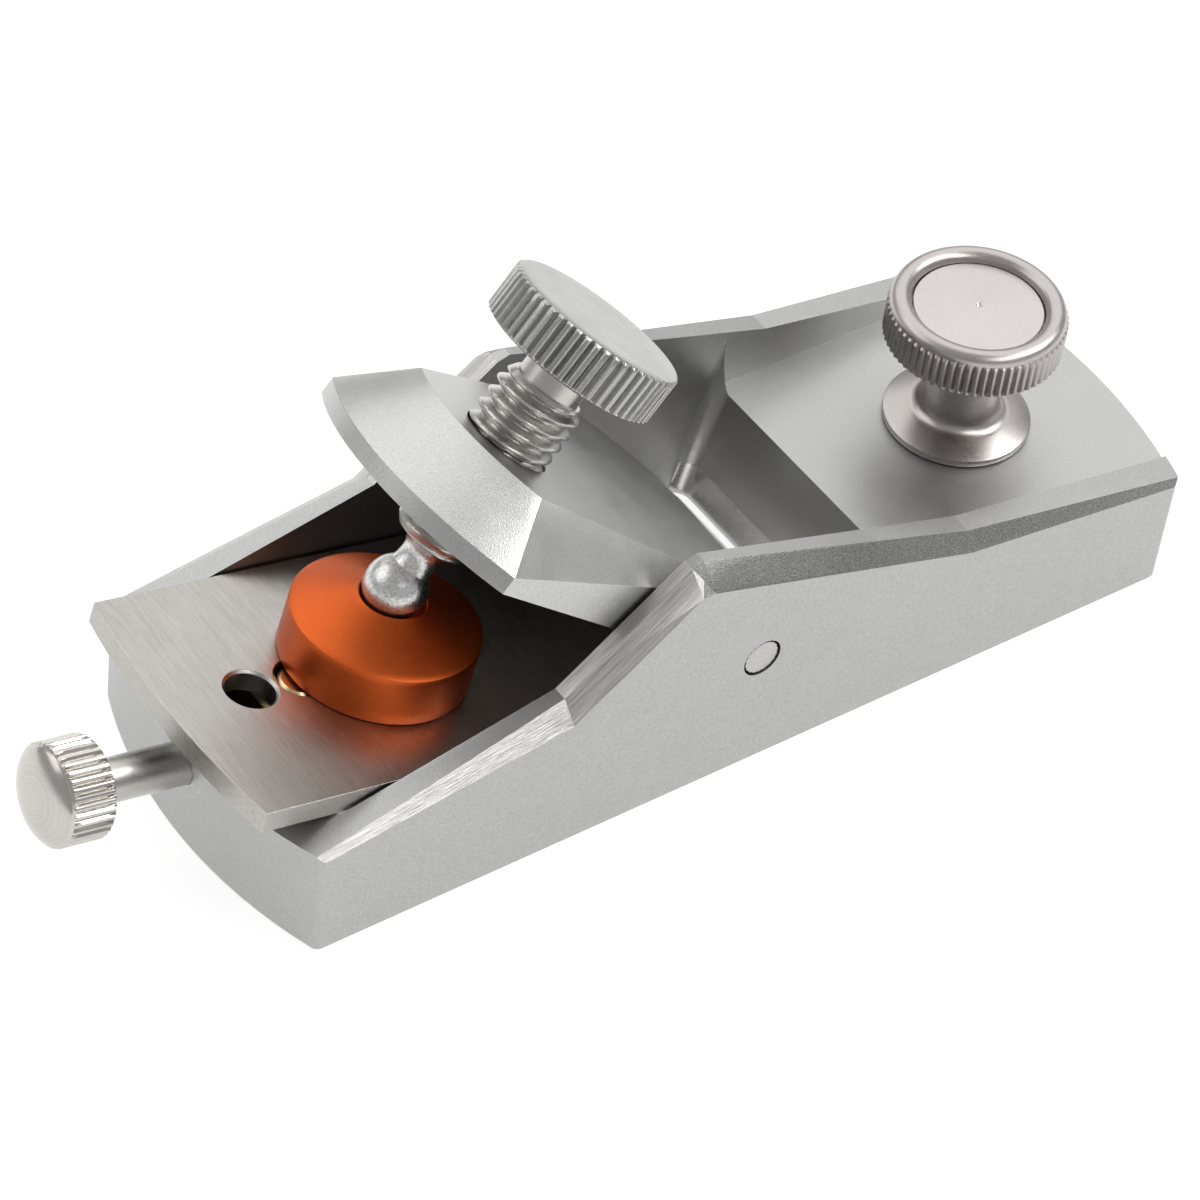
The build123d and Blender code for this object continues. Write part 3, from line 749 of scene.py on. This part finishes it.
@dataclass
class ClampScrew:
    """The clamp screw: knurled head, thread and ball tip.

    Attributes:
        head_radius: radius of the head in millimetres.
        head_top: height of the head's top above the cap.
        head_thick: thickness of the head.
        neck_radius: radius of the plain neck under the head.
        thread_radius: outer radius of the thread.
        pitch: thread pitch.
        depth: thread depth.
        thread_top: height at which the thread starts.
        thread_end: height at which it ends.
        ball_radius: radius of the ball.
        ball_at: height of the ball's centre.
        teeth: number of knurl teeth round the head.
    """

    head_radius: float = 11.95
    head_top: float = 18.8
    head_thick: float = 6.6
    neck_radius: float = 4.3
    thread_radius: float = 5.8
    pitch: float = 1.9
    depth: float = 1.05
    thread_top: float = 8.4
    thread_end: float = -15.6
    ball_radius: float = 4.15
    ball_at: float = -22.9
    teeth: int = 52

    def head(self) -> None:
        """Makes the knurled head."""
        low = self.head_top - self.head_thick
        radius = self.head_radius
        knurl = Knurl(self.teeth, 0.62, low + 0.35, self.head_top - 0.35, 0.12, 0.42)
        profile = [(0, low), (3.0, low), (radius - 0.9, low), (radius - 0.62, low + 0.06)]
        profile += [(radius - 0.35, low + 0.25), (radius, low + 0.35)]
        profile += [(radius, low + 0.35 + (self.head_thick - 0.8) * k / 6) for k in range(1, 7)]
        top = self.head_top
        profile += [(radius - 0.05, top - 0.35), (radius - 0.3, top - 0.12), (radius - 0.62, top)]
        profile += [(radius - 2.5, top), (radius * 0.5, top), (0, top)]
        piece = lathe("clamp_screw_head", profile, SCREW, self.teeth * 12, knurl.reach)
        dress(piece, HEAD_STEEL, "screw_head_steel", "thumb_screw", "thumb_screw_head")

    def thread(self) -> None:
        """Makes the shank with its helical thread."""
        around = 64
        rows_per_turn = 10
        step = self.pitch / rows_per_turn
        low, high = self.thread_end, self.thread_top
        count = int((high - low) / step) + 1
        work = bmesh.new()
        rings = []
        for row in range(count + 1):
            height = low + (high - low) * row / count
            ring = []
            for turn_step in range(around):
                turn = 2 * math.pi * turn_step / around
                phase = ((height - low) / self.pitch - turn / (2 * math.pi)) % 1.0
                away = abs(phase - 0.5) * 2
                crest = min(max((away - 0.12) / 0.72, 0.0), 1.0)
                fade = min(1.0, (high - height) / (self.pitch * 0.8))
                start = min(1.0, (height - low) / (self.pitch * 0.8))
                limit = self.thread_radius - self.depth * (1 - min(fade, start)) * 1.0
                reach = min(self.thread_radius - self.depth * (1 - crest), limit)
                ring.append(work.verts.new(ring_point(reach, turn, height)))
            rings.append(ring)
        for near, far in zip(rings[:-1], rings[1:]):
            for turn_step in range(around):
                after = (turn_step + 1) % around
                work.faces.new((near[turn_step], near[after], far[after], far[turn_step]))
        work.faces.new(rings[0])
        work.faces.new(rings[-1])
        bmesh.ops.recalc_face_normals(work, faces=work.faces)
        mesh = bpy.data.meshes.new("clamp_screw_thread")
        work.to_mesh(mesh)
        work.free()
        piece = new_object("clamp_screw_thread", mesh, SCREW)
        smooth(piece, 50)
        dress(piece, THREAD_STEEL, "screw_steel", "thumb_screw", "thumb_screw_spindle")
        low_neck = self.thread_top - 0.4
        under = self.head_top - self.head_thick
        profile = [(0, low_neck), (self.neck_radius, low_neck), (self.neck_radius, under - 0.5)]
        profile += [(self.neck_radius + 0.5, under), (0, under)]
        neck = lathe("clamp_screw_neck", profile, SCREW, 96)
        dress(neck, THREAD_STEEL, "screw_steel", "thumb_screw")

    def ball(self) -> None:
        """Makes the ball on its waisted stalk."""
        centre, radius = self.ball_at, self.ball_radius
        profile = arc((0, centre), radius, -90, 50, 40)
        join_r, join_z = profile[-1]
        top = self.thread_end - 0.05
        waist = 2.45
        waist_z = centre + 4.7
        for step in range(1, 25):
            height = join_z + (top - join_z) * step / 24
            if height > waist_z:
                swell = (height - waist_z) / (top - waist_z)
                goal = 4.5
                flare = 1 - math.sqrt(max(0.0, 1 - swell**2))
            else:
                swell = (waist_z - height) / (waist_z - join_z)
                goal = join_r
                flare = swell**2
            profile.append((waist + (goal - waist) * flare, height))
        profile += [(4.5, top), (2.2, top), (2.2, self.thread_end + 6.9), (0, self.thread_end + 6.9)]
        piece = lathe("clamp_screw_ball", profile, SCREW, 128)
        dress(piece, POLISHED, "ball_steel", "ball_end", "thumb_screw_ball")

    def build(self) -> None:
        """Makes the head, the thread and the ball."""
        self.head()
        self.thread()
        self.ball()


@dataclass
class PressurePad:
    """The anodised cup that the ball presses on.

    Attributes:
        radius: radius of the cylinder in millimetres.
        wall: height of the cylinder.
        height: height of the cup's rim.
        socket: radius of the cup's mouth.
    """

    radius: float = 12.3
    wall: float = 7.2
    height: float = 10.3
    socket: float = 4.4

    def build(self) -> None:
        """Makes the pad."""
        radius = self.radius
        profile = [(0, 0), (radius - 0.45, 0), (radius - 0.15, 0.1), (radius, 0.4)]
        profile += [(radius, 2), (radius, 4), (radius, 6), (radius, self.wall - 0.25)]
        profile += [(radius - 0.06, self.wall - 0.08), (radius - 0.25, self.wall + 0.06)]
        run, rise = self.socket - radius, self.height - self.wall
        for share in (0.1, 0.3, 0.5, 0.7, 0.9, 0.98):
            profile.append((radius + run * share, self.wall + rise * share))
        profile += [(self.socket + 0.05, self.height), (self.socket - 0.12, self.height - 0.02)]
        centre = 11.6
        profile += [point for point in arc((0, centre), 4.45, -18, -90, 14) if point[1] < self.height - 0.05]
        piece = lathe("anodised_pad", profile, PAD, 160)
        dress(piece, ORANGE, "pad_orange", "pad", "pressure_pad")


@dataclass
class DepthAdjuster:
    """Knurled adjuster knob and its lead screw.

    Attributes:
        radius: radius of the knob in millimetres.
        length: knurled length.
        dome: height of the domed end.
        teeth: number of knurl teeth.
    """

    radius: float = 6.55
    length: float = 6.1
    dome: float = 2.0
    teeth: int = 36

    def build(self) -> None:
        """Makes the knob and dresses the screw."""
        radius, length = self.radius, self.length
        knurl = Knurl(self.teeth, 0.42, 0.4, length - 0.2, 0.15, 0.3)
        profile = [(0, 0), (2.4, 0), (radius - 0.7, 0), (radius - 0.4, 0.12), (radius, 0.4)]
        profile += [(radius, 0.4 + (length - 0.6) * k / 5) for k in range(1, 6)]
        profile += [(radius - 0.12, length - 0.05), (radius - 0.45, length + 0.15)]
        edge = radius - 0.45
        rise = self.dome - 0.15
        for step in range(1, 14):
            share = step / 14
            angle = math.radians(90 * share)
            profile.append((edge * math.cos(angle), length + 0.15 + rise * math.sin(angle) ** 1.4))
        profile.append((0, length + self.dome))
        piece = lathe("depth_adjuster_knob", profile, ADJUSTER, self.teeth * 12, knurl.reach)
        dress(piece, ADJUSTER_STEEL, "adjuster_steel", "adjuster", "adjuster_knob")
        keep_node("lead_screw", THREAD_STEEL)
        for node in ("thrust_washer", "thrust_collar", "collar_set_screw"):
            keep_node(node, PLAIN_STEEL)
        for node in ("blade_carriage", "carriage_peg"):
            keep_node(node, BRASS)


@dataclass
class FrontKnob:
    """The knob on the front deck.

    Attributes:
        radius: radius of the rim in millimetres.
        top: height of the rim's bead.
        knurl_top: height at which the knurled band ends.
        under: height of the rim's underside.
        recess: radius of the sunk disc.
        disc_z: height of the disc.
        stem: radius of the stem.
        flange: radius of its foot.
        deck: height of the deck it stands on.
        teeth: number of knurl teeth.
    """

    radius: float = 11.95
    top: float = 37.7
    knurl_top: float = 36.3
    under: float = 30.9
    recess: float = 8.8
    disc_z: float = 36.5
    stem: float = 5.25
    flange: float = 9.95
    deck: float = 17.0
    teeth: int = 66

    def rim(self) -> None:
        """Makes the knurled rim with its rounded bead."""
        radius = self.radius
        knurl = Knurl(self.teeth, 0.42, self.under + 0.55, self.knurl_top - 0.25, 0.15, 0.3, radius - 0.6)
        low = self.under
        profile = [(2.0, self.disc_z - 1.0), (2.0, low), (radius - 1.2, low)]
        profile += [(radius - 0.5, low + 0.2), (radius, low + 0.6)]
        profile += [(radius, low + 0.6 + (self.knurl_top - 0.3 - low - 0.6) * k / 5) for k in range(1, 6)]
        profile += [(radius - 0.30, self.knurl_top)]
        half = (radius - 0.30 - self.recess) / 2
        centre = self.recess + half
        for step in range(1, 20):
            angle = math.radians(180 * step / 20)
            bead = (self.top - self.knurl_top) * math.sin(angle) ** 0.9
            profile.append((centre + half * math.cos(angle), self.knurl_top + bead))
        profile += [(self.recess, self.knurl_top - 0.05), (self.recess, self.disc_z - 1.0)]
        profile += [(2.0, self.disc_z - 1.0)]
        piece = lathe("front_knob_knurled_rim", profile, KNOB, self.teeth * 10, knurl.reach)
        dress(piece, WARM_TURNED, "knob_steel", "front_knob", "front_knob_rim")

    def disc(self) -> None:
        """Makes the sunk disc with its centre mark."""
        edge = self.recess - 0.12
        z = self.disc_z
        profile = [(0, z - 0.95), (edge, z - 0.95), (edge, z - 0.15), (edge - 0.15, z)]
        profile += [(edge * (1 - k / 6), z + 0.30 * k / 6) for k in range(1, 6)]
        profile += [(0.45, z + 0.31), (0.3, z + 0.2), (0.15, z + 0.05), (0, z)]
        piece = lathe("front_knob_satin_disc", profile, KNOB, 96)
        dress(piece, WARM_DISC, "knob_disc_steel", "front_knob", "front_knob_disc")

    def stem_and_flange(self) -> None:
        """Makes the stem with its flared foot."""
        deck, flange, stem = self.deck + 0.05, self.flange, self.stem
        profile = [(3.05, deck), (flange - 0.35, deck), (flange - 0.08, deck + 0.12)]
        profile += [(flange, deck + 0.35), (flange, deck + 0.8)]
        profile += [(flange - 0.08, deck + 1.0), (flange - 0.4, deck + 1.15)]
        profile += [(stem + 2.6, deck + 1.75), (stem + 1.75, deck + 2.05)]
        for step in range(1, 13):
            angle = math.radians(90 * step / 12)
            profile.append((stem + 1.75 * (1 - math.sin(angle)), deck + 2.1 + 1.8 * (1 - math.cos(angle))))
        profile += [(stem, deck + 8), (stem, self.under), (2.0, self.under)]
        piece = lathe("front_knob_flared_stem", profile, KNOB, 128)
        dress(piece, WARM_TURNED, "knob_steel", "front_knob", "front_knob_stem")

    def build(self) -> None:
        """Makes the rim, the disc and the stem."""
        self.rim()
        self.disc()
        self.stem_and_flange()
        keep_node("front_knob_cap_screw", PLAIN_STEEL)


# ------------------------------------------------------------------ studio
@dataclass
class SoftBox:
    """A rectangular light.

    Attributes:
        name: its name.
        azimuth: where it stands, in degrees, 0 being the -Y side.
        elevation: its height in degrees.
        distance: its distance in metres.
        size: width and height in metres.
        power: its power in watts.
    """

    name: str
    azimuth: float
    elevation: float
    distance: float
    size: tuple[float, float]
    power: float

    def build(self, target: Vector) -> None:
        """Places the light and aims it.

        Args:
            target: the point it shines at.
        """
        a, e = math.radians(self.azimuth), math.radians(self.elevation)
        back = Vector((math.sin(a) * math.cos(e), -math.cos(a) * math.cos(e), math.sin(e)))
        data = bpy.data.lights.new(self.name, "AREA")
        data.shape = "RECTANGLE"
        data.size, data.size_y = self.size
        data.energy = self.power
        light = bpy.data.objects.new(self.name, data)
        bpy.context.scene.collection.objects.link(light)
        light.location = target + back * self.distance
        light.rotation_euler = back.to_track_quat("Z", "Y").to_euler()


@dataclass
class Studio:
    """Pale floor, soft lights and the camera.

    Attributes:
        lens: the camera's focal length in millimetres on a 36 mm sensor.
        azimuth: the camera's side, in degrees.
        elevation: its height in degrees.
        roll: its roll in degrees.
        distance: its distance from the aim point in metres.
        air: brightness of the surroundings.
        aim: the point it looks at.
        lights: the soft boxes.
    """

    lens: float = 134.35
    azimuth: float = -40.481
    elevation: float = 44.529
    roll: float = 8.097
    distance: float = 0.65011
    air: float = 0.47
    aim: Vector = field(default_factory=lambda: Vector((0.02714, 0.0416, -0.04353)))
    lights: tuple[SoftBox, ...] = (
        SoftBox("back_box", 146.0, 50.0, 1.0, (1.3, 1.1), 4.9),
        SoftBox("front_high_box", 42.0, 53.0, 1.0, (1.3, 0.42), 5.0),
        SoftBox("glint_box", 66.0, 45.0, 1.0, (0.3, 0.3), 2.2),
        SoftBox("left_back_box", -134.0, 40.0, 1.0, (0.8, 0.6), 1.9),
    )

    def camera(self) -> None:
        """Places the camera."""
        a, e, r = (math.radians(v) for v in (self.azimuth, self.elevation, self.roll))
        back = Vector((math.sin(a) * math.cos(e), -math.cos(a) * math.cos(e), math.sin(e)))
        right = Vector((0, 0, 1)).cross(back).normalized()
        up = back.cross(right)
        turned_right = math.cos(r) * right + math.sin(r) * up
        turned_up = -math.sin(r) * right + math.cos(r) * up
        data = bpy.data.cameras.new("studio_camera")
        data.lens = self.lens
        data.sensor_width = 36.0
        data.clip_start = 0.01
        data.clip_end = 20.0
        camera = bpy.data.objects.new("studio_camera", data)
        bpy.context.scene.collection.objects.link(camera)
        turn = Matrix((turned_right, turned_up, back)).transposed().to_4x4()
        camera.matrix_world = Matrix.Translation(self.aim + back * self.distance) @ turn
        bpy.context.scene.camera = camera

    def floor(self) -> None:
        """Makes the pale floor."""
        work = bmesh.new()
        bmesh.ops.create_grid(work, x_segments=4, y_segments=4, size=8.0)
        mesh = bpy.data.meshes.new("studio_floor")
        work.to_mesh(mesh)
        work.free()
        piece = new_object("studio_floor", mesh)
        piece.location.z = -0.0002
        made = bpy.data.materials.new("pale_paper")
        made.use_nodes = True
        shader = made.node_tree.nodes["Principled BSDF"]
        shader.inputs["Base Color"].default_value = (0.35, 0.35, 0.35, 1)
        shader.inputs["Roughness"].default_value = 0.9
        shader.inputs["Emission Color"].default_value = (1, 1, 1, 1)
        shader.inputs["Emission Strength"].default_value = 0.80
        mesh.materials.append(made)

    def world(self) -> None:
        """Lights the surroundings evenly and dimly."""
        world = bpy.data.worlds.new("studio_air")
        world.use_nodes = True
        background = world.node_tree.nodes["Background"]
        background.inputs["Color"].default_value = (0.98, 0.99, 1.0, 1)
        background.inputs["Strength"].default_value = self.air
        bpy.context.scene.world = world
        bpy.context.scene.view_settings.view_transform = "Standard"

    def build(self) -> None:
        """Sets up the studio."""
        self.camera()
        self.floor()
        self.world()
        for light in self.lights:
            light.build(Vector((0, 0, 0.02)))


def main() -> None:
    """Builds the plane piece by piece, then the studio."""
    logging.basicConfig(level=logging.INFO, format="%(name)s: %(message)s")
    parts = (
        Body(), ToePlate(), Iron(), LeverCap(), ClampScrew(),
        PressurePad(), DepthAdjuster(), FrontKnob(), Studio(),
    )
    for part in parts:
        part.build()


if __name__ == "__main__":
    main()
